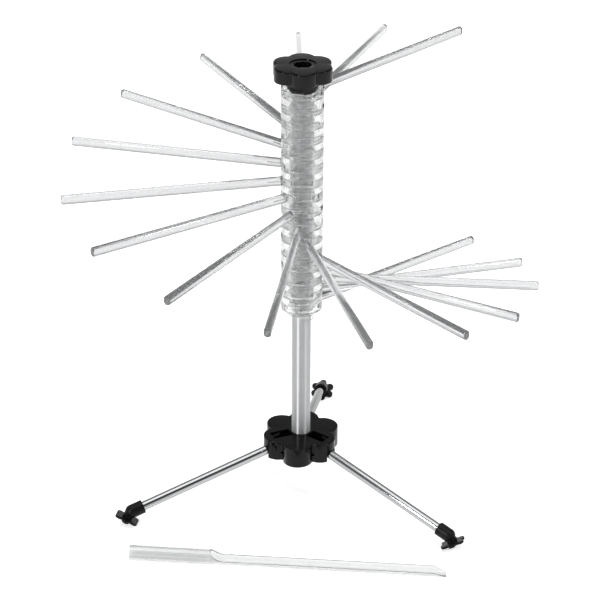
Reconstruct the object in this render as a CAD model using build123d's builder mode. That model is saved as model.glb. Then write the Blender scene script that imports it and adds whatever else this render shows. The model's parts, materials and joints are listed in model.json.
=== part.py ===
from build123d import *
from math import atan2, cos, degrees, radians, sin, tan
import os

# Pasta drying rack: a column on three folding legs that carries sixteen swinging arms, and a wand

# Driving sizes, in millimetres, with angles in degrees
arm_reach = 222.0
arm_count = 16
top_arm_height = 417.8
collar_pitch = 14.3
cut_overrun = 2.0
seat_clearance = 0.05
running_clearance = 0.1
moving_gap = 0.3

# Column tube
tube_radius = 9.0
tube_wall = 1.0
tube_bore_radius = tube_radius - tube_wall
tube_end_chamfer = 0.3

# Retaining rings, one under the collars and one inside the knob
ring_thickness = 1.2
ring_groove_depth = 0.4
ring_width = 1.9
ring_opening_deg = 50.0

# Collars, with heights measured from the arm's centre line
collar_radius = 19.7
collar_wall = 1.6
collar_rise = 4.85
collar_height = collar_pitch - moving_gap
collar_drop = collar_height - collar_rise
sleeve_wall = 1.9
sleeve_bore_radius = tube_radius + running_clearance
sleeve_radius = sleeve_bore_radius + sleeve_wall
web_thickness = 1.6
web_drop = 2.95

# Stops between one collar and the next, which let an arm swing from its neighbour
lug_azimuths_deg = (90.0, 270.0)
lug_span_deg = 30.0
lug_depth = 4.0
lug_side_gap_deg = 1.0
swing_deg = 27.0
skirt_trim = 4.6

# Seat and spigot that hold the arm
boss_width = 7.3
boss_height = 9.6
boss_stand = 0.7
spigot_length = 12.0
spigot_width = 3.4
spigot_height = 5.8
spigot_round = 1.2

# Arms, from the highest to the lowest, at the angles of the fan as it stands open
arm_azimuths_deg = (
    46.7, 68.6, 91.2, 116.6, 141.9, 166.3, 192.8, 214.7,
    239.0, 262.6, 285.1, 310.2, 330.8, 355.6, 376.2, 399.5,
)
arm_width = 6.5
arm_height = 9.0
arm_tip_round = 1.6
arm_root_round = 0.4

# Knob
knob_lobes = 6
knob_turned_deg = 33.0
knob_lobe_radius = 13.0
knob_lobe_centre = 15.5
knob_head_height = 13.0
knob_neck_radius = 14.6
knob_neck_height = 8.9
knob_top_round = 1.8
knob_under_round = 0.8
knob_dish_radius = 12.5
knob_dish_depth = 0.9
knob_dish_round = 0.5
knob_cover = 6.9
knob_skirt_depth = 3.0
knob_skirt_wall = 1.5
knob_notch_round = 1.6

# Hub
hub_lobes = 6
hub_turned_deg = 82.8
hub_lobe_radius = 14.6
hub_lobe_centre = 23.5
hub_height = 20.4
hub_top_height = 64.4
hub_top_round = 0.9
hub_under_round = 0.6
hub_floor = 6.0
hub_core_radius = 10.8
hub_pocket_radius = 9.4
hub_pocket_depth = 15.0
hub_notch_round = 1.4

# Legs
leg_count = 3
leg_radius = 4.5
leg_pivot_reach = 25.8
leg_pivot_drop = 11.75
leg_heel = 9.0
leg_end_round = 0.5
leg_slot_gap = 0.3
leg_slot_side_gap = 1.5
leg_heel_floor = 3.0
pin_radius = 1.5
pin_length = 24.0
pin_end_round = 0.3

# Feet
boot_rim_reach = 164.0
boot_rim_height = 15.95
boot_length = 18.5
boot_radius = 6.6
boot_rim_round = 0.5
boot_cover = 4.5
pad_tilt_deg = 28.0
pad_petals = 6
pad_petal_radius = 3.7
pad_petal_centre = 8.8
pad_thickness = 2.8
pad_dish_depth = 1.1
pad_edge_round = 0.7
pad_set_out = 1.6
pad_sole_depth = 0.8
pad_dish_radius = 6.8
pad_dish_slope_deg = 50.0
ankle_radius = 4.9

# Plug and screw at the foot of the tube
plug_length = 14.0
plug_seat_depth = 0.2
screw_radius = 2.4
screw_thread_length = 13.0
screw_head_radius = 4.6
screw_head_height = 2.7
screw_hex_radius = 1.7
screw_hex_depth = 1.5
screw_seat_depth = 3.0
screw_seat_radius = 5.1
screw_hole_radius = 2.8

# Wand, which lies on the table in front of the rack
wand_length = 296.3
wand_radius = 7.0
wand_wall = 1.4
wand_grip_length = 76.0
wand_cutdown_length = 17.0
wand_trough_height = 6.0
wand_tip_bevel = 11.0
wand_start_x = -159.8
wand_start_y = -128.5
wand_turned_deg = -5.0
wand_edge_round = 0.3
wand_cutdown_shares = (0.3, 0.3)

# Heights that follow from the sizes above
stack_top = top_arm_height + collar_rise
stack_bottom = top_arm_height - (arm_count - 1) * collar_pitch - collar_drop
knob_bottom = stack_top
knob_shoulder = knob_bottom + knob_neck_height
knob_top = knob_shoulder + knob_head_height
tube_top = knob_top - knob_cover
hub_bottom = hub_top_height - hub_height
tube_bottom = hub_bottom + hub_floor
ring_inner_radius = tube_radius - ring_groove_depth + seat_clearance
ring_outer_radius = ring_inner_radius + ring_width
stack_ring_base = stack_bottom - moving_gap - ring_thickness
knob_ring_base = knob_shoulder + moving_gap
leg_pivot_height = hub_top_height - leg_pivot_drop
leg_slope_deg = degrees(atan2(leg_pivot_height - boot_rim_height, boot_rim_reach - leg_pivot_reach))
leg_bridge_start = leg_pivot_reach + leg_radius + leg_slot_gap
leg_azimuths_deg = [hub_turned_deg + index * 360.0 / leg_count for index in range(leg_count)]
leg_names = ("rear", "left", "right")


def radial_plane(azimuth_deg, height):
    """Level plane on the column axis whose x direction points along the azimuth."""
    direction = (cos(radians(azimuth_deg)), sin(radians(azimuth_deg)), 0)
    return Plane(origin=(0, 0, height), x_dir=direction, z_dir=(0, 0, 1))


def upright_plane(azimuth_deg):
    """Upright plane through the column axis: x runs outwards along the azimuth and y runs up."""
    turn = radians(azimuth_deg)
    return Plane(origin=(0, 0, 0), x_dir=(cos(turn), sin(turn), 0), z_dir=(sin(turn), -cos(turn), 0))


def across_plane(azimuth_deg, reach, height):
    """Upright plane square to the azimuth, facing outwards at a distance from the column axis."""
    turn = radians(azimuth_deg)
    origin = (reach * cos(turn), reach * sin(turn), height)
    return Plane(origin=origin, x_dir=(-sin(turn), cos(turn), 0), z_dir=(cos(turn), sin(turn), 0))


def flower_sketch(plane, lobes, lobe_radius, lobe_centre, notch_round):
    """Round lobes about a centre, joined by the disc between them, with softened notches."""
    with BuildSketch(plane) as flower:
        Circle(lobe_centre)
        with PolarLocations(lobe_centre, lobes):
            Circle(lobe_radius)
        fillet(flower.vertices(), radius=notch_round)
    return flower.sketch


def sector_sketch(plane, inner_radius, outer_radius, middle_deg, span_deg):
    """Piece of a ring between two radii, about a middle direction."""
    start = radians(middle_deg - span_deg / 2)
    middle = radians(middle_deg)
    end = radians(middle_deg + span_deg / 2)
    points = [(cos(turn), sin(turn)) for turn in (start, middle, end)]
    outer = [(outer_radius * x, outer_radius * y) for x, y in points]
    inner = [(inner_radius * x, inner_radius * y) for x, y in points]
    with BuildSketch(plane) as sector:
        with BuildLine():
            ThreePointArc(*outer)
            Line(outer[2], inner[2])
            ThreePointArc(inner[2], inner[1], inner[0])
            Line(inner[0], outer[0])
        make_face()
    return sector.sketch


def save(part, name):
    part.label = name
    export_step(part, f"parts/{name}.step")


def make_collar(azimuth_deg, arm_level, is_last):
    """One collar: sleeve on the tube, web, outer wall with stops, and the seat of its arm."""
    wall_inner_radius = collar_radius - collar_wall
    rebate_span_deg = lug_span_deg + swing_deg + 2 * lug_side_gap_deg
    rebate_depth = lug_depth + moving_gap
    level = radial_plane(azimuth_deg, arm_level)
    wall_drop = collar_drop - skirt_trim if is_last else collar_drop
    with BuildPart() as collar:
        with BuildSketch(level.offset(-collar_drop)):
            Circle(sleeve_radius)
            Circle(sleeve_bore_radius, mode=Mode.SUBTRACT)
        extrude(amount=collar_height)
        with BuildSketch(level.offset(-wall_drop)):
            Circle(collar_radius)
            Circle(wall_inner_radius, mode=Mode.SUBTRACT)
        extrude(amount=wall_drop + collar_rise)
        with BuildSketch(level.offset(-web_drop)):
            Circle(wall_inner_radius)
            Circle(sleeve_radius, mode=Mode.SUBTRACT)
        extrude(amount=web_thickness)
        with BuildSketch(across_plane(azimuth_deg, wall_inner_radius, arm_level)):
            SlotOverall(boss_height, boss_width, rotation=90)
        extrude(amount=collar_wall + boss_stand)
        with BuildSketch(across_plane(azimuth_deg, collar_radius + boss_stand, arm_level)):
            RectangleRounded(spigot_width, spigot_height, spigot_round)
        extrude(amount=spigot_length)
        for middle in lug_azimuths_deg:
            add(extrude(
                sector_sketch(level.offset(-wall_drop), wall_inner_radius, collar_radius,
                              middle, lug_span_deg),
                amount=-lug_depth, mode=Mode.PRIVATE,
            ))
            add(extrude(
                sector_sketch(level.offset(collar_rise), wall_inner_radius - cut_overrun,
                              collar_radius + cut_overrun, middle - swing_deg / 2, rebate_span_deg),
                amount=-rebate_depth, mode=Mode.PRIVATE,
            ), mode=Mode.SUBTRACT)
    return collar.part


def make_arm(azimuth_deg, arm_level):
    """One arm: an upright obround bar with a socket at its root and a rounded tip."""
    root_reach = collar_radius + boss_stand
    with BuildPart() as arm:
        with BuildSketch(across_plane(azimuth_deg, root_reach, arm_level)):
            SlotOverall(arm_height, arm_width, rotation=90)
        extrude(amount=arm_reach - root_reach)
        outward = Vector(cos(radians(azimuth_deg)), sin(radians(azimuth_deg)), 0)
        ends = arm.faces().sort_by(lambda face: face.center().dot(outward))
        fillet(ends[-1].edges(), radius=arm_tip_round)
        ends = arm.faces().sort_by(lambda face: face.center().dot(outward))
        fillet(ends[0].edges(), radius=arm_root_round)
        with BuildSketch(across_plane(azimuth_deg, root_reach, arm_level)):
            RectangleRounded(
                spigot_width + 2 * running_clearance,
                spigot_height + 2 * running_clearance,
                spigot_round + running_clearance,
            )
        extrude(amount=spigot_length + moving_gap, mode=Mode.SUBTRACT)
    return arm.part


def make_ring(base, inner_radius, outer_radius, azimuth_deg):
    """Open spring ring that lies in a groove of the tube."""
    with BuildPart() as ring:
        add(extrude(
            sector_sketch(radial_plane(azimuth_deg, base), inner_radius, outer_radius,
                          180, 360 - ring_opening_deg),
            amount=ring_thickness, mode=Mode.PRIVATE,
        ))
    return ring.part


def leg_line_at(reach):
    """Height of a leg's centre line at a distance from the column axis."""
    return leg_pivot_height - (reach - leg_pivot_reach) * tan(radians(leg_slope_deg))


def leg_plane(azimuth_deg, along):
    """Plane square to a leg, at a distance along it from the hinge pin."""
    turn = radians(azimuth_deg)
    slope = radians(leg_slope_deg)
    reach = leg_pivot_reach + along * cos(slope)
    height = leg_pivot_height - along * sin(slope)
    return Plane(
        origin=(reach * cos(turn), reach * sin(turn), height),
        x_dir=(-sin(turn), cos(turn), 0),
        z_dir=(cos(turn) * cos(slope), sin(turn) * cos(slope), -sin(slope)),
    )


def pin_plane(azimuth_deg):
    """Plane through a leg's hinge pin, square to the pin."""
    turn = radians(azimuth_deg)
    origin = (leg_pivot_reach * cos(turn), leg_pivot_reach * sin(turn), leg_pivot_height)
    return Plane(origin=origin, x_dir=(cos(turn), sin(turn), 0), z_dir=(sin(turn), -cos(turn), 0))


boot_rim_along = (boot_rim_reach - leg_pivot_reach) / cos(radians(leg_slope_deg))
boot_pocket_depth = boot_length - boot_cover
boot_dome_along = boot_rim_along + boot_length - boot_radius
boot_dome_reach = leg_pivot_reach + boot_dome_along * cos(radians(leg_slope_deg))
leg_end_along = boot_rim_along + boot_pocket_depth - moving_gap
sole_height = (pad_petal_centre + pad_petal_radius) * sin(radians(pad_tilt_deg)) - pad_sole_depth
ankle_length = (leg_line_at(boot_dome_reach) - sole_height) / cos(radians(pad_tilt_deg))
pad_reach = boot_dome_reach + ankle_length * sin(radians(pad_tilt_deg)) + pad_set_out


def make_leg(azimuth_deg):
    """Leg rod with a cross hole for its hinge pin."""
    with BuildPart() as leg:
        with BuildSketch(leg_plane(azimuth_deg, -leg_heel)):
            Circle(leg_radius)
        extrude(amount=leg_heel + leg_end_along)
        fillet(leg.edges().filter_by(GeomType.CIRCLE), radius=leg_end_round)
        with BuildSketch(pin_plane(azimuth_deg)):
            Circle(pin_radius + running_clearance)
        extrude(amount=leg_radius + cut_overrun, both=True, mode=Mode.SUBTRACT)
    return leg.part


def make_foot(azimuth_deg):
    """Rubber boot on the leg's end, with a dished sole of six petals that tilts on to the table."""
    turn = radians(azimuth_deg)
    tilt = radians(pad_tilt_deg)
    rim = leg_plane(azimuth_deg, boot_rim_along)
    boot_side = Plane(origin=rim.origin, x_dir=rim.z_dir, z_dir=(sin(turn), -cos(turn), 0))
    sole = Plane(
        origin=(pad_reach * cos(turn), pad_reach * sin(turn), sole_height),
        x_dir=(cos(turn) * cos(tilt), sin(turn) * cos(tilt), sin(tilt)),
        z_dir=(-cos(turn) * sin(tilt), -sin(turn) * sin(tilt), cos(tilt)),
    )
    dome_start = boot_length - boot_radius
    dome_middle = (dome_start + boot_radius * sin(radians(45)), boot_radius * cos(radians(45)))
    with BuildPart() as petals:
        add(extrude(
            flower_sketch(sole, pad_petals, pad_petal_radius, pad_petal_centre, pad_edge_round),
            amount=pad_thickness, mode=Mode.PRIVATE,
        ))
        fillet(petals.faces().sort_by_distance(sole.origin)[0].edges(), radius=pad_edge_round)
    with BuildPart() as foot:
        with BuildSketch(boot_side):
            with BuildLine():
                Polyline((dome_start, boot_radius), (0, boot_radius), (0, 0), (boot_length, 0))
                ThreePointArc((boot_length, 0), dome_middle, (dome_start, boot_radius))
            make_face()
        revolve(axis=Axis(rim.origin, rim.z_dir))
        fillet(foot.edges().filter_by(GeomType.CIRCLE).sort_by_distance(rim.origin)[0],
               radius=boot_rim_round)
        with BuildSketch(sole):
            Circle(ankle_radius)
        extrude(amount=ankle_length)
        add(petals.part)
        with BuildSketch(sole):
            Circle(pad_dish_radius)
        extrude(amount=pad_dish_depth, taper=pad_dish_slope_deg, mode=Mode.SUBTRACT)
        with BuildSketch(rim):
            Circle(leg_radius + seat_clearance)
        extrude(amount=boot_pocket_depth, mode=Mode.SUBTRACT)
        split(bisect_by=Plane.XY, keep=Keep.TOP)
    return foot.part


def make_knob():
    """Six-lobed knob that turns on the tube's end and seats in the top collar."""
    head_plane = radial_plane(knob_turned_deg, knob_shoulder)
    skirt_inner_radius = sleeve_radius + running_clearance
    with BuildPart() as knob:
        add(extrude(
            flower_sketch(head_plane, knob_lobes, knob_lobe_radius, knob_lobe_centre, knob_notch_round),
            amount=knob_head_height, mode=Mode.PRIVATE,
        ))
        fillet(knob.edges().group_by(Axis.Z)[-1], radius=knob_top_round)
        fillet(knob.edges().group_by(Axis.Z)[0], radius=knob_under_round)
        with BuildSketch(Plane.XY.offset(knob_bottom)):
            Circle(knob_neck_radius)
        extrude(amount=knob_neck_height + knob_under_round)
        with BuildSketch(Plane.XY.offset(knob_bottom)):
            Circle(skirt_inner_radius + knob_skirt_wall)
            Circle(skirt_inner_radius, mode=Mode.SUBTRACT)
        extrude(amount=-knob_skirt_depth)
        with BuildSketch(Plane.XY.offset(knob_bottom)):
            Circle(tube_radius + running_clearance)
        extrude(amount=tube_top + moving_gap - knob_bottom, mode=Mode.SUBTRACT)
        with BuildSketch(Plane.XY.offset(knob_ring_base - moving_gap)):
            Circle(ring_outer_radius + moving_gap)
        extrude(amount=ring_thickness + 2 * moving_gap, mode=Mode.SUBTRACT)
        with BuildSketch(Plane.XY.offset(tube_top)):
            Circle(tube_bore_radius)
        extrude(amount=knob_cover + cut_overrun, mode=Mode.SUBTRACT)
        with BuildSketch(Plane.XY.offset(knob_top)):
            Circle(knob_dish_radius)
        extrude(amount=-knob_dish_depth, mode=Mode.SUBTRACT)
        dish_floor = knob.edges().filter_by(GeomType.CIRCLE).filter_by_position(
            Axis.Z, knob_top - knob_dish_depth, knob_top - knob_dish_depth).sort_by(SortBy.RADIUS)
        fillet(dish_floor[0], radius=knob_dish_round)
    return knob.part


def make_hub():
    """Six-lobed hub: socket for the tube, three slots for the legs, three hollowed lobes."""
    foot_plane = radial_plane(hub_turned_deg, hub_bottom)
    rise = (leg_radius + leg_slot_gap) / cos(radians(leg_slope_deg))
    outer = hub_lobe_centre + hub_lobe_radius + cut_overrun
    heel_reach = leg_pivot_reach - leg_radius - leg_slot_gap
    above = hub_top_height + cut_overrun
    below = hub_bottom - cut_overrun
    slot_outline = (
        (hub_core_radius, above), (leg_bridge_start, above),
        (leg_bridge_start, leg_line_at(leg_bridge_start) + rise), (outer, leg_line_at(outer) + rise),
        (outer, below), (heel_reach, below),
        (heel_reach, hub_bottom + leg_heel_floor), (hub_core_radius, hub_bottom + leg_heel_floor),
    )
    with BuildPart() as hub:
        add(extrude(
            flower_sketch(foot_plane, hub_lobes, hub_lobe_radius, hub_lobe_centre, hub_notch_round),
            amount=hub_height, mode=Mode.PRIVATE,
        ))
        fillet(hub.edges().group_by(Axis.Z)[-1], radius=hub_top_round)
        fillet(hub.edges().group_by(Axis.Z)[0], radius=hub_under_round)
        with BuildSketch(Plane.XY.offset(tube_bottom)):
            Circle(tube_radius + seat_clearance)
        extrude(amount=hub_height, mode=Mode.SUBTRACT)
        with BuildSketch(Plane.XY.offset(hub_bottom)):
            Circle(screw_hole_radius)
        extrude(amount=hub_floor, mode=Mode.SUBTRACT)
        with BuildSketch(Plane.XY.offset(hub_bottom)):
            Circle(screw_seat_radius)
        extrude(amount=screw_seat_depth, mode=Mode.SUBTRACT)
        with BuildSketch(radial_plane(hub_turned_deg + 180 / leg_count, hub_bottom)):
            with PolarLocations(hub_lobe_centre, leg_count):
                Circle(hub_pocket_radius)
        extrude(amount=hub_pocket_depth, mode=Mode.SUBTRACT)
        for azimuth_deg in leg_azimuths_deg:
            with BuildSketch(upright_plane(azimuth_deg)):
                with BuildLine():
                    Polyline(*slot_outline, close=True)
                make_face()
            extrude(amount=leg_radius + leg_slot_side_gap, both=True, mode=Mode.SUBTRACT)
            with BuildSketch(pin_plane(azimuth_deg)):
                Circle(pin_radius + seat_clearance)
            extrude(amount=hub_lobe_radius + cut_overrun, both=True, mode=Mode.SUBTRACT)
    return hub.part


def make_pin(azimuth_deg):
    """Steel hinge pin that lies across a leg's slot."""
    with BuildPart() as pin:
        with BuildSketch(pin_plane(azimuth_deg)):
            Circle(pin_radius)
        extrude(amount=pin_length / 2, both=True)
        fillet(pin.edges().filter_by(GeomType.CIRCLE), radius=pin_end_round)
    return pin.part


def make_tube():
    """Column tube, bored wider for the plug, with a groove for each spring ring."""
    groove_height = ring_thickness + seat_clearance
    with BuildPart() as tube:
        with BuildSketch(Plane.XY.offset(tube_bottom)):
            Circle(tube_radius)
        extrude(amount=tube_top - tube_bottom)
        chamfer(tube.edges().filter_by(GeomType.CIRCLE), length=tube_end_chamfer)
        with BuildSketch(Plane.XY.offset(tube_bottom)):
            Circle(tube_bore_radius)
        extrude(amount=tube_top - tube_bottom, mode=Mode.SUBTRACT)
        with BuildSketch(Plane.XY.offset(tube_bottom)):
            Circle(tube_bore_radius + plug_seat_depth)
        extrude(amount=plug_length, mode=Mode.SUBTRACT)
        for base in (stack_ring_base, knob_ring_base):
            with BuildSketch(Plane.XY.offset(base)):
                Circle(tube_radius + cut_overrun)
                Circle(tube_radius - ring_groove_depth, mode=Mode.SUBTRACT)
            extrude(amount=groove_height, mode=Mode.SUBTRACT)
    return tube.part


def make_plug():
    """Plug in the tube's lower end, threaded for the screw that holds the hub."""
    with BuildPart() as plug:
        with BuildSketch(Plane.XY.offset(tube_bottom)):
            Circle(tube_bore_radius + plug_seat_depth - seat_clearance)
        extrude(amount=plug_length)
        chamfer(plug.edges().filter_by(GeomType.CIRCLE), length=tube_end_chamfer)
        with BuildSketch(Plane.XY.offset(tube_bottom)):
            Circle(screw_radius + seat_clearance)
        extrude(amount=plug_length, mode=Mode.SUBTRACT)
    return plug.part


def make_screw():
    """Socket-head screw that comes up through the hub's floor."""
    seat = hub_bottom + screw_seat_depth
    with BuildPart() as screw:
        with BuildSketch(Plane.XY.offset(seat)):
            Circle(screw_head_radius)
        extrude(amount=-screw_head_height)
        fillet(screw.edges().group_by(Axis.Z)[0], radius=pin_end_round)
        with BuildSketch(Plane.XY.offset(seat)):
            Circle(screw_radius)
        extrude(amount=screw_thread_length)
        chamfer(screw.edges().group_by(Axis.Z)[-1], length=tube_end_chamfer)
        with BuildSketch(Plane.XY.offset(seat - screw_head_height)):
            RegularPolygon(screw_hex_radius, 6)
        extrude(amount=screw_hex_depth, mode=Mode.SUBTRACT)
    return screw.part


def make_wand():
    """Clear wand: a tube for the hand that is cut down to an open trough with a bevelled tip."""
    turn = radians(wand_turned_deg)
    start = (wand_start_x, wand_start_y, wand_radius)
    end_plane = Plane(origin=start, x_dir=(-sin(turn), cos(turn), 0), z_dir=(cos(turn), sin(turn), 0))
    side_plane = Plane(
        origin=(wand_start_x, wand_start_y, 0),
        x_dir=(cos(turn), sin(turn), 0),
        z_dir=(sin(turn), -cos(turn), 0),
    )
    crown = 2 * wand_radius
    along_share, height_share = wand_cutdown_shares
    cutdown_end = wand_grip_length + wand_cutdown_length
    cutdown_middle = (
        wand_grip_length + along_share * wand_cutdown_length,
        wand_trough_height + height_share * (crown - wand_trough_height),
    )
    with BuildPart() as wand:
        with BuildSketch(end_plane):
            Circle(wand_radius)
            Circle(wand_radius - wand_wall, mode=Mode.SUBTRACT)
        extrude(amount=wand_length)
        rims = wand.edges().filter_by(GeomType.CIRCLE).sort_by_distance(start)
        fillet(rims[:2], radius=wand_edge_round)
        with BuildSketch(side_plane):
            with BuildLine():
                ThreePointArc(
                    (wand_grip_length, crown), cutdown_middle, (cutdown_end, wand_trough_height),
                )
                Polyline(
                    (cutdown_end, wand_trough_height),
                    (wand_length - wand_tip_bevel, wand_trough_height),
                    (wand_length, wand_wall),
                    (wand_length + cut_overrun, wand_wall),
                    (wand_length + cut_overrun, crown + cut_overrun),
                    (wand_grip_length, crown + cut_overrun),
                    (wand_grip_length, crown),
                )
            make_face()
        extrude(amount=wand_radius + cut_overrun, both=True, mode=Mode.SUBTRACT)
    return wand.part


os.makedirs("parts", exist_ok=True)

for index, azimuth_deg in enumerate(arm_azimuths_deg):
    arm_level = top_arm_height - index * collar_pitch
    save(make_collar(azimuth_deg, arm_level, index == arm_count - 1), f"collar_{index + 1:02d}")
    save(make_arm(azimuth_deg, arm_level), f"arm_{index + 1:02d}")

for name, azimuth_deg in zip(leg_names, leg_azimuths_deg):
    save(make_leg(azimuth_deg), f"leg_{name}")
    save(make_foot(azimuth_deg), f"foot_{name}")

save(Compound(children=[make_pin(azimuth_deg) for azimuth_deg in leg_azimuths_deg]), "leg_pins")
save(make_hub(), "hub")
save(make_tube(), "tube")
save(make_plug(), "tube_plug")
save(make_screw(), "base_screw")
save(make_ring(stack_ring_base, ring_inner_radius, ring_outer_radius, hub_turned_deg), "stack_ring")
save(make_ring(knob_ring_base, ring_inner_radius, ring_outer_radius, hub_turned_deg), "knob_ring")
save(make_knob(), "knob")
save(make_wand(), "wand")
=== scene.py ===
import json
import math

import bmesh
import bpy
from mathutils import Matrix, Vector


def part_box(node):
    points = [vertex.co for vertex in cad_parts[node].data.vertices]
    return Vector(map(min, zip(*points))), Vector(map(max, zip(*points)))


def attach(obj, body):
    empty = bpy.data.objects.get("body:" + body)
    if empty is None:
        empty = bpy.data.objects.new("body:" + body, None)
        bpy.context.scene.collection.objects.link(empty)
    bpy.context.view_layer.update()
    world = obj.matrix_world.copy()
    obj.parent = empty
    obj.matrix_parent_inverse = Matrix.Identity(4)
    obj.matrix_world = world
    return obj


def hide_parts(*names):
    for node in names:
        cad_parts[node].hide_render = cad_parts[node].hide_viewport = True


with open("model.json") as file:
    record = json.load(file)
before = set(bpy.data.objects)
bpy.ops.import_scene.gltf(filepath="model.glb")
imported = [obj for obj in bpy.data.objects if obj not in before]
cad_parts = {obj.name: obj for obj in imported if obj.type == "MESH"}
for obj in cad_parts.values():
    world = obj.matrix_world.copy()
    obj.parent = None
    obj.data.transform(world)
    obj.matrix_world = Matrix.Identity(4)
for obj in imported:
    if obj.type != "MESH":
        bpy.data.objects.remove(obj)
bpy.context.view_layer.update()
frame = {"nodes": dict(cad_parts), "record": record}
print("frame loaded:", len(frame["nodes"]), "nodes")

mm = 0.001
nodeNames = sorted(frame["nodes"])
armNames = [name for name in nodeNames if name.startswith("arm_")]
collarNames = [name for name in nodeNames if name.startswith("collar_")]
slotOf = {part["node"]: part["material_slot"] for part in frame["record"]["subparts"]}
bodyOf = {node: body for body, nodes in frame["record"]["behaviour"]["bodies"].items() for node in nodes}


# Camera, at the photograph's viewing angle

cameraView = {
    "lens": 126.95,           # mm, a long lens
    "sensorWidth": 36,        # mm
    "distance": 2.0058,       # m from the point it aims at
    "aimHeight": 0.1956,      # m above the table
    "elevation": 27.62,       # degrees
    "roll": 0.297,            # degrees
    "shift": (-0.0025, 0.0177),
    "clipEnd": 50,            # m
}


def placeCamera():
    rise = math.radians(cameraView["elevation"])
    roll = math.radians(cameraView["roll"])
    back = Vector((0, -math.cos(rise), math.sin(rise)))
    right = Vector((1, 0, 0))
    up = back.cross(right)
    across = right * math.cos(roll) + up * math.sin(roll)
    along = up * math.cos(roll) - right * math.sin(roll)
    spot = Vector((0, 0, cameraView["aimHeight"])) + back * cameraView["distance"]
    data = bpy.data.cameras.new("photoCamera")
    data.lens = cameraView["lens"]
    data.sensor_width = cameraView["sensorWidth"]
    data.shift_x, data.shift_y = cameraView["shift"]
    data.clip_end = cameraView["clipEnd"]
    camera = bpy.data.objects.new("photoCamera", data)
    camera.matrix_world = Matrix.Translation(spot) @ Matrix((across, along, back)).transposed().to_4x4()
    bpy.context.scene.collection.objects.link(camera)
    bpy.context.scene.camera = camera


placeCamera()
print("camera placed")


# sRGB hex to linear colour
def hexColour(text):
    parts = [int(text[i:i + 2], 16) / 255 for i in (1, 3, 5)]
    return tuple(p / 12.92 if p <= 0.04045 else ((p + 0.055) / 1.055) ** 2.4 for p in parts) + (1.0,)


# New node with its settings and inputs. A node given as an input stands for its first output
def addNode(tree, kind, settings=None, inputs=None):
    node = tree.nodes.new(kind)
    for key, value in (settings or {}).items():
        setattr(node, key, value)
    for key, value in (inputs or {}).items():
        source = value.outputs[0] if isinstance(value, bpy.types.Node) else value
        if isinstance(source, bpy.types.NodeSocket):
            tree.links.new(source, node.inputs[key])
        else:
            node.inputs[key].default_value = source
    return node


def newMaterial(name):
    material = bpy.data.materials.new(name)
    material.use_nodes = True
    tree = material.node_tree
    tree.nodes.clear()
    return material, tree


# Injection-moulded polycarbonate: clear with a slight milkiness, and flow ripples in its skin
# that break up what is seen through it. The collars' ripples are drawn deeper than real ones, to show

polycarbonate = {
    "clearPolycarbonate": {"tint": "#f4f5f5", "clearness": 0.99, "ripple": 2.6 * mm, "depth": 0.3 * mm},
    "barPolycarbonate": {"tint": "#d6d7d8", "clearness": 0.88, "ripple": 9 * mm, "depth": 0.012 * mm},
    "wandPolycarbonate": {"tint": "#eaebeb", "clearness": 0.9, "ripple": 9 * mm, "depth": 0.012 * mm},
}
polycarbonateHaze = 0.04      # roughness where the milkiness is strongest


def clearPolycarbonate(name):
    look = polycarbonate[name]
    material, tree = newMaterial(name)
    spot = addNode(tree, "ShaderNodeTexCoord").outputs["Object"]
    flow = addNode(tree, "ShaderNodeTexNoise", None,
                   {"Vector": spot, "Scale": 1 / look["ripple"], "Detail": 2.0})
    bump = addNode(tree, "ShaderNodeBump", None,
                   {"Strength": 1.0, "Distance": look["depth"], "Height": flow})
    haze = addNode(tree, "ShaderNodeMapRange", None,
                   {"Value": flow, "To Min": 0.0, "To Max": polycarbonateHaze})
    shader = addNode(tree, "ShaderNodeBsdfPrincipled", None, {
        "Base Color": hexColour(look["tint"]), "Roughness": haze, "IOR": 1.585,
        "Transmission Weight": look["clearness"], "Normal": bump,
    })
    addNode(tree, "ShaderNodeOutputMaterial", None, {"Surface": shader})
    return material


# Ground tube, satin anodised: fine lines round it, which stretch each reflection up and down,
# so that it shows as long upright bands

tubeFinish = {
    "colour": "#c4c5c6", "roughness": (0.44, 0.54),
    "lineLength": 30 * mm, "lineSpacing": 0.3 * mm, "lineDepth": 0.02 * mm, "lineStrength": 0.12,
    "stretch": 0.95, "stretchTurn": 0.25,     # a quarter turn sets it upright
}


def anodisedAluminium():
    material, tree = newMaterial("anodisedAluminium")
    spot = addNode(tree, "ShaderNodeTexCoord").outputs["Object"]
    length, spacing = tubeFinish["lineLength"], tubeFinish["lineSpacing"]
    low, high = tubeFinish["roughness"]
    lines = addNode(tree, "ShaderNodeMapping", None,
                    {"Vector": spot, "Scale": (1 / length, 1 / length, 1 / spacing)})
    grain = addNode(tree, "ShaderNodeTexNoise", None, {"Vector": lines, "Scale": 1.0, "Detail": 3.0})
    sheen = addNode(tree, "ShaderNodeMapRange", None, {"Value": grain, "To Min": low, "To Max": high})
    around = addNode(tree, "ShaderNodeTangent", {"direction_type": "RADIAL", "axis": "Z"})
    bump = addNode(tree, "ShaderNodeBump", None, {
        "Strength": tubeFinish["lineStrength"], "Distance": tubeFinish["lineDepth"], "Height": grain})
    shader = addNode(tree, "ShaderNodeBsdfPrincipled", None, {
        "Base Color": hexColour(tubeFinish["colour"]), "Metallic": 1.0, "Roughness": sheen,
        "Anisotropic": tubeFinish["stretch"], "Anisotropic Rotation": tubeFinish["stretchTurn"],
        "Tangent": around, "Normal": bump,
    })
    addNode(tree, "ShaderNodeOutputMaterial", None, {"Surface": shader})
    return material


# Polished rod, bright chrome plated, with barely seen buffing marks

legFinish = {"colour": "#adaeaf", "edgeColour": "#c4c4c4", "roughness": (0.04, 0.1), "marks": 2.5 * mm}


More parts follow.
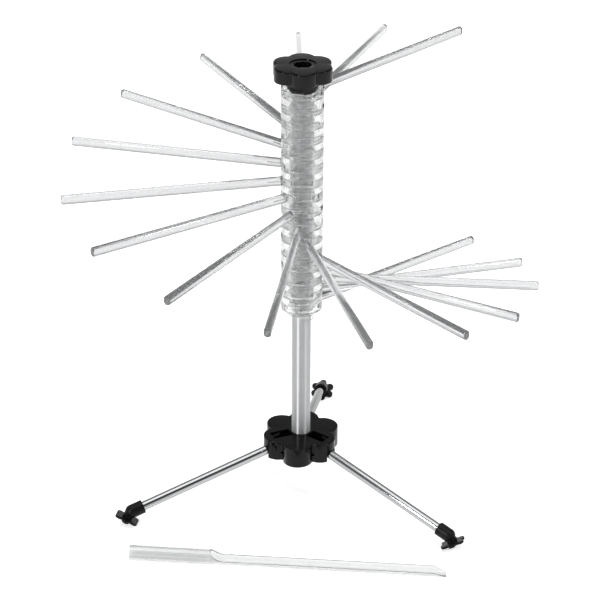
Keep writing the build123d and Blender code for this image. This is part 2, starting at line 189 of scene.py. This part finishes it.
def chromePlate():
    material, tree = newMaterial("chromePlate")
    spot = addNode(tree, "ShaderNodeTexCoord").outputs["Object"]
    low, high = legFinish["roughness"]
    buffing = addNode(tree, "ShaderNodeTexNoise", None,
                      {"Vector": spot, "Scale": 1 / legFinish["marks"], "Detail": 3.0})
    polish = addNode(tree, "ShaderNodeMapRange", None, {"Value": buffing, "To Min": low, "To Max": high})
    shader = addNode(tree, "ShaderNodeBsdfPrincipled", None, {
        "Base Color": hexColour(legFinish["colour"]), "Metallic": 1.0, "Roughness": polish,
        "Specular Tint": hexColour(legFinish["edgeColour"]),
    })
    addNode(tree, "ShaderNodeOutputMaterial", None, {"Surface": shader})
    return material


# Injection-moulded ABS, glossy: mirror-like with a very fine orange peel

knobFinish = {
    "colour": "#070708", "roughness": (0.05, 0.09), "specular": 0.18,
    "peel": 1.6 * mm, "peelDepth": 0.02 * mm, "peelStrength": 0.1,
}


def glossBlackAbs():
    material, tree = newMaterial("glossBlackAbs")
    spot = addNode(tree, "ShaderNodeTexCoord").outputs["Object"]
    low, high = knobFinish["roughness"]
    peel = addNode(tree, "ShaderNodeTexNoise", None,
                   {"Vector": spot, "Scale": 1 / knobFinish["peel"], "Detail": 2.0})
    bump = addNode(tree, "ShaderNodeBump", None, {
        "Strength": knobFinish["peelStrength"], "Distance": knobFinish["peelDepth"], "Height": peel})
    gloss = addNode(tree, "ShaderNodeMapRange", None, {"Value": peel, "To Min": low, "To Max": high})
    shader = addNode(tree, "ShaderNodeBsdfPrincipled", None, {
        "Base Color": hexColour(knobFinish["colour"]), "Roughness": gloss, "IOR": 1.5,
        "Specular IOR Level": knobFinish["specular"], "Normal": bump,
    })
    addNode(tree, "ShaderNodeOutputMaterial", None, {"Surface": shader})
    return material


# Moulded rubber: dull, with a fine grain left by the mould

footFinish = {
    "colour": "#101011", "roughness": (0.32, 0.44), "specular": 0.14,
    "grain": 0.5 * mm, "grainDepth": 0.04 * mm, "grainStrength": 0.3,
}


def dullBlackRubber():
    material, tree = newMaterial("dullBlackRubber")
    spot = addNode(tree, "ShaderNodeTexCoord").outputs["Object"]
    low, high = footFinish["roughness"]
    grain = addNode(tree, "ShaderNodeTexNoise", None,
                    {"Vector": spot, "Scale": 1 / footFinish["grain"], "Detail": 4.0})
    bump = addNode(tree, "ShaderNodeBump", None, {
        "Strength": footFinish["grainStrength"], "Distance": footFinish["grainDepth"], "Height": grain})
    dull = addNode(tree, "ShaderNodeMapRange", None, {"Value": grain, "To Min": low, "To Max": high})
    shader = addNode(tree, "ShaderNodeBsdfPrincipled", None, {
        "Base Color": hexColour(footFinish["colour"]), "Roughness": dull,
        "Specular IOR Level": footFinish["specular"], "Normal": bump,
    })
    addNode(tree, "ShaderNodeOutputMaterial", None, {"Surface": shader})
    return material


# Small turned and stamped steel pieces, zinc plated: grey, slightly cloudy

springFinish = {"colour": "#b4b4b2", "roughness": (0.25, 0.45), "cloud": 3 * mm}


def zincPlatedSteel():
    material, tree = newMaterial("zincPlatedSteel")
    spot = addNode(tree, "ShaderNodeTexCoord").outputs["Object"]
    low, high = springFinish["roughness"]
    cloud = addNode(tree, "ShaderNodeTexNoise", None,
                    {"Vector": spot, "Scale": 1 / springFinish["cloud"], "Detail": 3.0})
    matt = addNode(tree, "ShaderNodeMapRange", None, {"Value": cloud, "To Min": low, "To Max": high})
    shader = addNode(tree, "ShaderNodeBsdfPrincipled", None, {
        "Base Color": hexColour(springFinish["colour"]), "Metallic": 1.0, "Roughness": matt,
    })
    addNode(tree, "ShaderNodeOutputMaterial", None, {"Surface": shader})
    return material


# Moulded nylon, off-white and slightly waxy

plugFinish = {"colour": "#e2dfd6", "roughness": (0.45, 0.55), "wax": 1.2 * mm}


def naturalNylon():
    material, tree = newMaterial("naturalNylon")
    spot = addNode(tree, "ShaderNodeTexCoord").outputs["Object"]
    low, high = plugFinish["roughness"]
    wax = addNode(tree, "ShaderNodeTexNoise", None,
                  {"Vector": spot, "Scale": 1 / plugFinish["wax"], "Detail": 2.0})
    dull = addNode(tree, "ShaderNodeMapRange", None, {"Value": wax, "To Min": low, "To Max": high})
    shader = addNode(tree, "ShaderNodeBsdfPrincipled", None, {
        "Base Color": hexColour(plugFinish["colour"]), "Roughness": dull, "IOR": 1.53,
    })
    addNode(tree, "ShaderNodeOutputMaterial", None, {"Surface": shader})
    return material


finishes = {
    "clear_plastic": clearPolycarbonate("clearPolycarbonate"),
    "column_aluminium": anodisedAluminium(),
    "leg_chrome": chromePlate(),
    "black_plastic": glossBlackAbs(),
    "black_rubber": dullBlackRubber(),
    "spring_steel": zincPlatedSteel(),
    "white_plastic": naturalNylon(),
}
armFinish = clearPolycarbonate("barPolycarbonate")
ownFinish = {"wand": clearPolycarbonate("wandPolycarbonate")}
print("materials made:", len(finishes) + 2)


# New tree with one named input per size, and its group input's sockets
def openTree(name, sizes):
    tree = bpy.data.node_groups.new(name, "GeometryNodeTree")
    for label, value in sizes.items():
        socket = tree.interface.new_socket(name=label, in_out="INPUT", socket_type="NodeSocketFloat")
        socket.default_value = value
    tree.interface.new_socket(name="Mesh", in_out="OUTPUT", socket_type="NodeSocketGeometry")
    given = tree.nodes.new("NodeGroupInput")
    return tree, {label: given.outputs[label] for label in sizes}


# Polyline of corner pairs with rounded corners, as a curve that remembers its own points
def addSection(tree, corners, rounds, closed, steps):
    line = addNode(tree, "GeometryNodeMeshLine", None, {"Count": len(corners)})
    curve = addNode(tree, "GeometryNodeMeshToCurve", None, {"Mesh": line})
    loop = addNode(tree, "GeometryNodeSetSplineCyclic", None, {"Geometry": curve, "Cyclic": closed})
    spots = [addNode(tree, "ShaderNodeCombineXYZ", None, {"X": x, "Y": y}) for x, y in corners]
    picked = []
    for kind, values in (("VECTOR", spots), ("FLOAT", rounds)):     # one value for each corner
        pick = addNode(tree, "GeometryNodeIndexSwitch", {"data_type": kind},
                       {"Index": addNode(tree, "GeometryNodeInputIndex")})
        while len(pick.index_switch_items) < len(values):
            pick.index_switch_items.new()
        for order, value in enumerate(values):
            source = value.outputs[0] if isinstance(value, bpy.types.Node) else value
            if isinstance(source, bpy.types.NodeSocket):
                tree.links.new(source, pick.inputs[str(order)])
            else:
                pick.inputs[str(order)].default_value = source
        picked.append(pick)
    placed = addNode(tree, "GeometryNodeSetPosition", None, {"Geometry": loop, "Position": picked[0]})
    rounded = addNode(tree, "GeometryNodeFilletCurve", {"mode": "POLY"},
                      {"Curve": placed, "Count": steps, "Limit Radius": True, "Radius": picked[1]})
    return addNode(tree, "GeometryNodeStoreNamedAttribute", {"data_type": "FLOAT_VECTOR"}, {
        "Geometry": rounded, "Name": "section", "Value": addNode(tree, "GeometryNodeInputPosition")})


# Closed ring of points that remembers its own angle
def addTurns(tree, steps, offset):
    ring = addNode(tree, "GeometryNodeCurvePrimitiveCircle", None, {"Resolution": steps, "Radius": mm})
    order = addNode(tree, "ShaderNodeMath", {"operation": "ADD"},
                    {0: addNode(tree, "GeometryNodeInputIndex"), 1: offset})
    angle = addNode(tree, "ShaderNodeMath", {"operation": "MULTIPLY"}, {0: order, 1: 2 * math.pi / steps})
    return addNode(tree, "GeometryNodeStoreNamedAttribute", {"data_type": "FLOAT"},
                   {"Geometry": ring, "Name": "turn", "Value": angle})


# What a point of the skin remembers: its section point and its angle
def readSkin(tree):
    section = addNode(tree, "GeometryNodeInputNamedAttribute", {"data_type": "FLOAT_VECTOR"},
                      {"Name": "section"})
    turn = addNode(tree, "GeometryNodeInputNamedAttribute", {"data_type": "FLOAT"}, {"Name": "turn"})
    split = addNode(tree, "ShaderNodeSeparateXYZ", None, {"Vector": section})
    return split.outputs["X"], split.outputs["Y"], turn


# Upright obround bar along X. A corner pair is the distance along it and how far in from its skin

barMesh = {
    "roundSteps": 4,            # steps in each rounded corner
    "roundWithin": 0.9 * mm,    # what lies this near the bar's middle line is round
    "mergeWithin": 0.002 * mm,
}


def addBar(tree, corners, rounds, width, height, turns):
    skin = addNode(tree, "GeometryNodeCurveToMesh", None, {
        "Curve": addSection(tree, corners, rounds, False, barMesh["roundSteps"]),
        "Profile Curve": addTurns(tree, turns, 0.5)})
    along, inset, turn = readSkin(tree)
    half = addNode(tree, "ShaderNodeMath", {"operation": "MULTIPLY"}, {0: width, 1: 0.5})
    reach = addNode(tree, "ShaderNodeMath", {"operation": "SUBTRACT"}, {0: half, 1: inset})
    outside = addNode(tree, "ShaderNodeMath", {"operation": "GREATER_THAN"},
                      {0: reach, 1: barMesh["roundWithin"]})
    spare = addNode(tree, "ShaderNodeMath", {"operation": "SUBTRACT"}, {0: height, 1: width})
    share = addNode(tree, "ShaderNodeMath", {"operation": "MULTIPLY"}, {0: outside, 1: 0.5})
    straight = addNode(tree, "ShaderNodeMath", {"operation": "MULTIPLY"}, {0: spare, 1: share})
    cosine = addNode(tree, "ShaderNodeMath", {"operation": "COSINE"}, {0: turn})
    sine = addNode(tree, "ShaderNodeMath", {"operation": "SINE"}, {0: turn})
    upper = addNode(tree, "ShaderNodeMath", {"operation": "SIGN"}, {0: sine})
    side = addNode(tree, "ShaderNodeMath", {"operation": "MULTIPLY"}, {0: reach, 1: cosine})
    arc = addNode(tree, "ShaderNodeMath", {"operation": "MULTIPLY"}, {0: reach, 1: sine})
    lift = addNode(tree, "ShaderNodeMath", {"operation": "MULTIPLY"}, {0: straight, 1: upper})
    rise = addNode(tree, "ShaderNodeMath", {"operation": "ADD"}, {0: arc, 1: lift})
    spot = addNode(tree, "ShaderNodeCombineXYZ", None, {"X": along, "Y": side, "Z": rise})
    placed = addNode(tree, "GeometryNodeSetPosition", None, {"Geometry": skin, "Position": spot})
    return addNode(tree, "GeometryNodeMergeByDistance", None,
                   {"Geometry": placed, "Distance": barMesh["mergeWithin"]})


# Turn the piece to its azimuth, lift it to its level and give it its material
def closeTree(tree, mesh, azimuth, level, finish):
    bare = mesh
    for name in ("section", "turn"):
        bare = addNode(tree, "GeometryNodeRemoveAttribute", None, {"Geometry": bare, "Name": name})
    lift = addNode(tree, "ShaderNodeCombineXYZ", None, {"Z": level})
    about = addNode(tree, "ShaderNodeCombineXYZ", None, {"Z": azimuth})
    turned = addNode(tree, "GeometryNodeTransform", None,
                     {"Geometry": bare, "Translation": lift, "Rotation": about})
    real = addNode(tree, "GeometryNodeRealizeInstances", None, {"Geometry": turned})
    coated = addNode(tree, "GeometryNodeSetMaterial", None, {"Geometry": real, "Material": finish})
    addNode(tree, "NodeGroupOutput", None, {0: coated})


# Smooth shading that stops at edges sharper than the angle

smoothing = {"mergeWithin": 0.002 * mm, "sharpAngle": 32.0}


def crispEdges(mesh):
    work = bmesh.new()
    work.from_mesh(mesh)
    limit = math.radians(smoothing["sharpAngle"])
    for edge in work.edges:
        edge.smooth = len(edge.link_faces) == 2 and edge.calc_face_angle() < limit
    for face in work.faces:
        face.smooth = True
    work.to_mesh(mesh)
    work.free()


# The mesh as a piece that rides on its node's body and stands for the node
def standFor(node, name, mesh):
    piece = bpy.data.objects.new(name, mesh)
    bpy.context.scene.collection.objects.link(piece)
    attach(piece, bodyOf[node])
    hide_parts(node)


# Run the tree once for a body and keep the result as a plain mesh
def growPiece(name, tree, values, node):
    holder = bpy.data.objects.new(name + "Holder", bpy.data.meshes.new(name + "Holder"))
    bpy.context.scene.collection.objects.link(holder)
    modifier = holder.modifiers.new("shape", "NODES")
    modifier.node_group = tree
    for item in tree.interface.items_tree:
        if item.in_out == "INPUT" and item.name in values:
            modifier[item.identifier] = values[item.name]
    depsgraph = bpy.context.evaluated_depsgraph_get()
    mesh = bpy.data.meshes.new_from_object(holder.evaluated_get(depsgraph), depsgraph=depsgraph)
    holder.modifiers.remove(modifier)
    bpy.data.objects.remove(holder)
    crispEdges(mesh)
    mesh.name = name
    standFor(node, name, mesh)


# Arms: upright obround bars, blind socket at the root, rounded tip

armShape = {
    "Width": 6.5 * mm, "Height": 9.0 * mm,
    "Root": 20.4 * mm, "Tip": 222.0 * mm,
    "Tip round": 1.6 * mm, "Root round": 0.4 * mm,
    "Socket depth": 12.3 * mm, "Socket inset": 2.75 * mm, "Socket round": 0.1 * mm,
    "Azimuth": 0.0, "Level": 0.0,
}
armTurns = 48
tipBand = 1 * mm      # what lies this near the reach of the tip tells the arm's azimuth


def makeArmTree(finish):
    tree, size = openTree("clearArm", armShape)
    half = addNode(tree, "ShaderNodeMath", {"operation": "MULTIPLY"}, {0: size["Width"], 1: 0.5})
    socketEnd = addNode(tree, "ShaderNodeMath", {"operation": "ADD"},
                        {0: size["Root"], 1: size["Socket depth"]})
    corners = [
        (socketEnd, half), (socketEnd, size["Socket inset"]), (size["Root"], size["Socket inset"]),
        (size["Root"], 0.0), (size["Tip"], 0.0), (size["Tip"], half),
    ]
    rounds = [0.0, size["Socket round"], size["Socket round"], size["Root round"], size["Tip round"], 0.0]
    bar = addBar(tree, corners, rounds, size["Width"], size["Height"], armTurns)
    closeTree(tree, bar, size["Azimuth"], size["Level"], finish)
    return tree


# Where an arm stands: azimuth of its tip's middle and level of its centre line
def standOf(node):
    low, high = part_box(node)
    points = [v.co for v in frame["nodes"][node].data.vertices]
    far = max(points, key=lambda co: co.x ** 2 + co.y ** 2)
    reach = math.hypot(far.x, far.y)
    tip = [co for co in points if math.hypot(co.x, co.y) > reach - tipBand]
    middle = sum(tip, Vector()) / len(tip)
    return math.atan2(middle.y, middle.x), (low.z + high.z) / 2


# Collars: sleeve, web and outer wall turned as one section, stops on the wall, seat for the arm

collarShape = {
    "Bore": 9.12 * mm, "Sleeve": 10.98 * mm,
    "Wall inside": 18.12 * mm, "Wall outside": 19.69 * mm,
    "Top": 4.84 * mm, "Web top": -1.36 * mm, "Web under": -2.94 * mm,
    "Sleeve foot": -9.14 * mm, "Wall foot": -9.14 * mm,
    "Lug depth": 3.98 * mm, "Rebate depth": 4.32 * mm,
    "Lug azimuth": 90.0, "Lug span": 29.0, "Rebate span": 59.5, "Swing": 27.0,    # degrees
    "Rim round": 0.25 * mm, "Foot band": 1 * mm,
    "Boss width": 7.28 * mm, "Boss height": 9.58 * mm, "Boss stand": 20.39 * mm,
    "Boss sunk": 0.2 * mm, "Boss round": 0.2 * mm,
    "Spigot end": 32.38 * mm, "Spigot inset": 3.22 * mm, "Spigot round": 0.1 * mm,
    "Azimuth": 0.0, "Level": 0.0,
}
collarTurns = 360
collarRoundSteps = 3
seatTurns = 40
lastWallFoot = -4.54 * mm     # the lowest collar has no neighbour to reach down to


# 1 within half a span of either lug's middle, else 0
def nearLug(tree, turn, centre, span):
    degrees = addNode(tree, "ShaderNodeMath", {"operation": "MULTIPLY"}, {0: turn, 1: 180 / math.pi})
    apart = addNode(tree, "ShaderNodeMath", {"operation": "SUBTRACT"}, {0: degrees, 1: centre})
    halves = addNode(tree, "ShaderNodeMath", {"operation": "DIVIDE"}, {0: apart, 1: 180.0})
    whole = addNode(tree, "ShaderNodeMath", {"operation": "ROUND"}, {0: halves})
    rest = addNode(tree, "ShaderNodeMath", {"operation": "SUBTRACT"}, {0: halves, 1: whole})
    off = addNode(tree, "ShaderNodeMath", {"operation": "ABSOLUTE"}, {0: rest})
    spread = addNode(tree, "ShaderNodeMath", {"operation": "MULTIPLY"}, {0: off, 1: 360.0})
    return addNode(tree, "ShaderNodeMath", {"operation": "LESS_THAN"}, {0: spread, 1: span})


# How far a point of the outer wall drops: the foot by the lugs' depth, the top by the rebates'
def wallDrop(tree, size, reach, rise, turn):
    inner = addNode(tree, "ShaderNodeMath", {"operation": "SUBTRACT"},
                    {0: size["Wall inside"], 1: size["Rim round"]})
    onWall = addNode(tree, "ShaderNodeMath", {"operation": "GREATER_THAN"}, {0: reach, 1: inner})
    band = addNode(tree, "ShaderNodeMath", {"operation": "ADD"},
                   {0: size["Wall foot"], 1: size["Foot band"]})
    atFoot = addNode(tree, "ShaderNodeMath", {"operation": "LESS_THAN"}, {0: rise, 1: band})
    atTop = addNode(tree, "ShaderNodeMath", {"operation": "GREATER_THAN"}, {0: rise, 1: 0.0})
    halfSwing = addNode(tree, "ShaderNodeMath", {"operation": "MULTIPLY"}, {0: size["Swing"], 1: 0.5})
    middle = addNode(tree, "ShaderNodeMath", {"operation": "SUBTRACT"},
                     {0: size["Lug azimuth"], 1: halfSwing})
    lug = addNode(tree, "ShaderNodeMath", {"operation": "MULTIPLY"},
                  {0: nearLug(tree, turn, size["Lug azimuth"], size["Lug span"]), 1: size["Lug depth"]})
    rebate = addNode(tree, "ShaderNodeMath", {"operation": "MULTIPLY"},
                     {0: nearLug(tree, turn, middle, size["Rebate span"]), 1: size["Rebate depth"]})
    lugDrop = addNode(tree, "ShaderNodeMath", {"operation": "MULTIPLY"}, {0: lug, 1: atFoot})
    rebateDrop = addNode(tree, "ShaderNodeMath", {"operation": "MULTIPLY"}, {0: rebate, 1: atTop})
    drop = addNode(tree, "ShaderNodeMath", {"operation": "ADD"}, {0: lugDrop, 1: rebateDrop})
    return addNode(tree, "ShaderNodeMath", {"operation": "MULTIPLY"}, {0: drop, 1: onWall})


def makeCollarTree(finish):
    tree, size = openTree("clearCollar", collarShape)
    corners = [
        (size["Bore"], size["Sleeve foot"]), (size["Sleeve"], size["Sleeve foot"]),
        (size["Sleeve"], size["Web under"]), (size["Wall inside"], size["Web under"]),
        (size["Wall inside"], size["Wall foot"]), (size["Wall outside"], size["Wall foot"]),
        (size["Wall outside"], size["Top"]), (size["Wall inside"], size["Top"]),
        (size["Wall inside"], size["Web top"]), (size["Sleeve"], size["Web top"]),
        (size["Sleeve"], size["Top"]), (size["Bore"], size["Top"]),
    ]
    rims = [size["Rim round"]] * len(corners)
    skin = addNode(tree, "GeometryNodeCurveToMesh", None, {
        "Curve": addTurns(tree, collarTurns, 0.0),
        "Profile Curve": addSection(tree, corners, rims, True, collarRoundSteps)})
    outward = addNode(tree, "GeometryNodeFlipFaces", None, {"Mesh": skin})
    reach, rise, turn = readSkin(tree)
    cosine = addNode(tree, "ShaderNodeMath", {"operation": "COSINE"}, {0: turn})
    sine = addNode(tree, "ShaderNodeMath", {"operation": "SINE"}, {0: turn})
    spot = addNode(tree, "ShaderNodeCombineXYZ", None, {
        "X": addNode(tree, "ShaderNodeMath", {"operation": "MULTIPLY"}, {0: reach, 1: cosine}),
        "Y": addNode(tree, "ShaderNodeMath", {"operation": "MULTIPLY"}, {0: reach, 1: sine}),
        "Z": addNode(tree, "ShaderNodeMath", {"operation": "SUBTRACT"},
                     {0: rise, 1: wallDrop(tree, size, reach, rise, turn)}),
    })
    ring = addNode(tree, "GeometryNodeSetPosition", None, {"Geometry": outward, "Position": spot})
    half = addNode(tree, "ShaderNodeMath", {"operation": "MULTIPLY"},
                   {0: size["Boss width"], 1: 0.5})
    start = addNode(tree, "ShaderNodeMath", {"operation": "ADD"},
                    {0: size["Wall inside"], 1: size["Boss sunk"]})
    seatCorners = [
        (start, half), (start, 0.0), (size["Boss stand"], 0.0), (size["Boss stand"], size["Spigot inset"]),
        (size["Spigot end"], size["Spigot inset"]), (size["Spigot end"], half),
    ]
    seatRounds = [0.0, 0.0, size["Boss round"], size["Boss round"], size["Spigot round"], 0.0]
    seat = addBar(tree, seatCorners, seatRounds, size["Boss width"], size["Boss height"], seatTurns)
    joined = addNode(tree, "GeometryNodeMeshBoolean", {"operation": "UNION", "solver": "MANIFOLD"})
    for piece in (ring, seat):
        tree.links.new(piece.outputs[0], joined.inputs["Mesh 2"])
    closeTree(tree, joined, size["Azimuth"], size["Level"], finish)
    return tree


armTree = makeArmTree(armFinish)
collarTree = makeCollarTree(finishes["clear_plastic"])
for node in armNames:
    azimuth, level = standOf(node)
    number = node[-2:]
    place = {"Azimuth": azimuth, "Level": level}
    growPiece("clearArm" + number, armTree, place, node)
    if node == armNames[-1]:
        place["Wall foot"] = lastWallFoot
    growPiece("clearCollar" + number, collarTree, place, "collar_" + number)
print("arms and collars grown:", len(armNames))


# Pieces whose CAD shape is right: a merged, smooth copy with crisp edges stands for the node

def refineNode(name):
    mesh = frame["nodes"][name].data.copy()
    mesh.name = name + "_fine"
    work = bmesh.new()
    work.from_mesh(mesh)
    bmesh.ops.remove_doubles(work, verts=work.verts, dist=smoothing["mergeWithin"])
    work.to_mesh(mesh)
    work.free()
    crispEdges(mesh)
    mesh.materials.clear()
    mesh.materials.append(ownFinish.get(name, finishes[slotOf[name]]))
    standFor(name, name + "_fine", mesh)


otherNames = [name for name in nodeNames if name not in armNames + collarNames]
for name in otherNames:
    refineNode(name)
print("other nodes refined:", len(otherNames))


# Studio: pale floor and soft light

studio = {
    "floorHalf": 9.0,               # m
    "floorGlow": 0.57,
    "floorColour": "#f2f2f2",
    "maxBounces": 64,               # the stack has many clear walls behind one another
    "glossyBounces": 8,
}
# The room's brightness by the height and depth of a direction, each from -1 to 1
room = {
    "horizon": 1.0, "overhead": 0.36, "fallOff": (0.1, 0.45),
    "behindCamera": 0.3, "behindRise": (0.15, 0.35), "behindDepth": (-0.75, 0.1),
    "crown": 1.9, "crownEdge": (0.88, 0.94),
}
softboxes = {
    "keySoftbox": {"spot": (-1.5, -1.7, 1.3), "size": (0.35, 0.4), "power": 25.0},      # m and W
    "fillSoftbox": {"spot": (1.4, -0.8, 1.4), "size": (0.35, 0.45), "power": 10.0},
}
softboxTarget = (0, 0, 0.25)


# The floor's glow shows to the camera and in reflections and clear pieces, and lights nothing
def makeFloor():
    half = studio["floorHalf"]
    mesh = bpy.data.meshes.new("floor")
    corners = [(-half, -half, 0), (half, -half, 0), (half, half, 0), (-half, half, 0)]
    mesh.from_pydata(corners, [], [(0, 1, 2, 3)])
    material, tree = newMaterial("paleFloor")
    path = addNode(tree, "ShaderNodeLightPath")
    seen = addNode(tree, "ShaderNodeMath", {"operation": "MAXIMUM"},
                   {0: path.outputs["Is Camera Ray"], 1: path.outputs["Is Glossy Ray"]})
    shown = addNode(tree, "ShaderNodeMath", {"operation": "MAXIMUM"},
                    {0: seen, 1: path.outputs["Is Transmission Ray"]})
    matt = addNode(tree, "ShaderNodeBsdfDiffuse", None, {"Color": hexColour(studio["floorColour"])})
    glow = addNode(tree, "ShaderNodeEmission", None,
                   {"Color": (1, 1, 1, 1), "Strength": studio["floorGlow"]})
    both = addNode(tree, "ShaderNodeAddShader", None, {0: matt, 1: glow})
    mix = addNode(tree, "ShaderNodeMixShader", None, {0: shown, 1: matt, 2: both})
    addNode(tree, "ShaderNodeOutputMaterial", None, {"Surface": mix})
    mesh.materials.append(material)
    floor = bpy.data.objects.new("floor", mesh)
    bpy.context.scene.collection.objects.link(floor)


# Soft room: bright at the horizon all round, dim overhead and behind the camera, with a lit crown
def makeWorld():
    world = bpy.data.worlds.new("studioWorld")
    world.use_nodes = True
    tree = world.node_tree
    tree.nodes.clear()
    direction = addNode(tree, "ShaderNodeSeparateXYZ", None,
                        {"Vector": addNode(tree, "ShaderNodeTexCoord").outputs["Generated"]})
    height, depth = direction.outputs["Z"], direction.outputs["Y"]
    low, high = room["fallOff"]
    sweep = addNode(tree, "ShaderNodeMapRange", {"interpolation_type": "SMOOTHSTEP"}, {
        "Value": height, "From Min": low, "From Max": high,
        "To Min": room["horizon"], "To Max": room["overhead"]})
    low, high = room["behindRise"]
    behind = addNode(tree, "ShaderNodeMapRange", {"interpolation_type": "SMOOTHSTEP"}, {
        "Value": height, "From Min": low, "From Max": high, "To Min": 1.0, "To Max": room["behindCamera"]})
    low, high = room["behindDepth"]
    front = addNode(tree, "ShaderNodeMapRange", {"interpolation_type": "SMOOTHSTEP"}, {
        "Value": depth, "From Min": low, "From Max": high, "To Min": behind, "To Max": 1.0})
    low, high = room["crownEdge"]
    crown = addNode(tree, "ShaderNodeMapRange", {"interpolation_type": "SMOOTHSTEP"}, {
        "Value": height, "From Min": low, "From Max": high, "To Max": room["crown"]})
    level = addNode(tree, "ShaderNodeMath", {"operation": "MULTIPLY_ADD"}, {0: sweep, 1: front, 2: crown})
    light = addNode(tree, "ShaderNodeBackground", None, {"Color": (1, 1, 1, 1), "Strength": level})
    addNode(tree, "ShaderNodeOutputWorld", None, {"Surface": light})
    bpy.context.scene.world = world


def addSoftbox(name, box):
    data = bpy.data.lights.new(name, "AREA")
    data.shape = "RECTANGLE"
    data.size, data.size_y = box["size"]
    data.energy = box["power"]
    lamp = bpy.data.objects.new(name, data)
    aim = Vector(softboxTarget) - Vector(box["spot"])
    turn = aim.to_track_quat("-Z", "Y").to_matrix().to_4x4()
    lamp.matrix_world = Matrix.Translation(box["spot"]) @ turn
    bpy.context.scene.collection.objects.link(lamp)


makeFloor()
makeWorld()
for name, box in softboxes.items():
    addSoftbox(name, box)
bpy.context.scene.view_settings.view_transform = "Standard"
bpy.context.scene.cycles.max_bounces = studio["maxBounces"]
bpy.context.scene.cycles.transmission_bounces = studio["maxBounces"]
bpy.context.scene.cycles.glossy_bounces = studio["glossyBounces"]
print("studio lit")
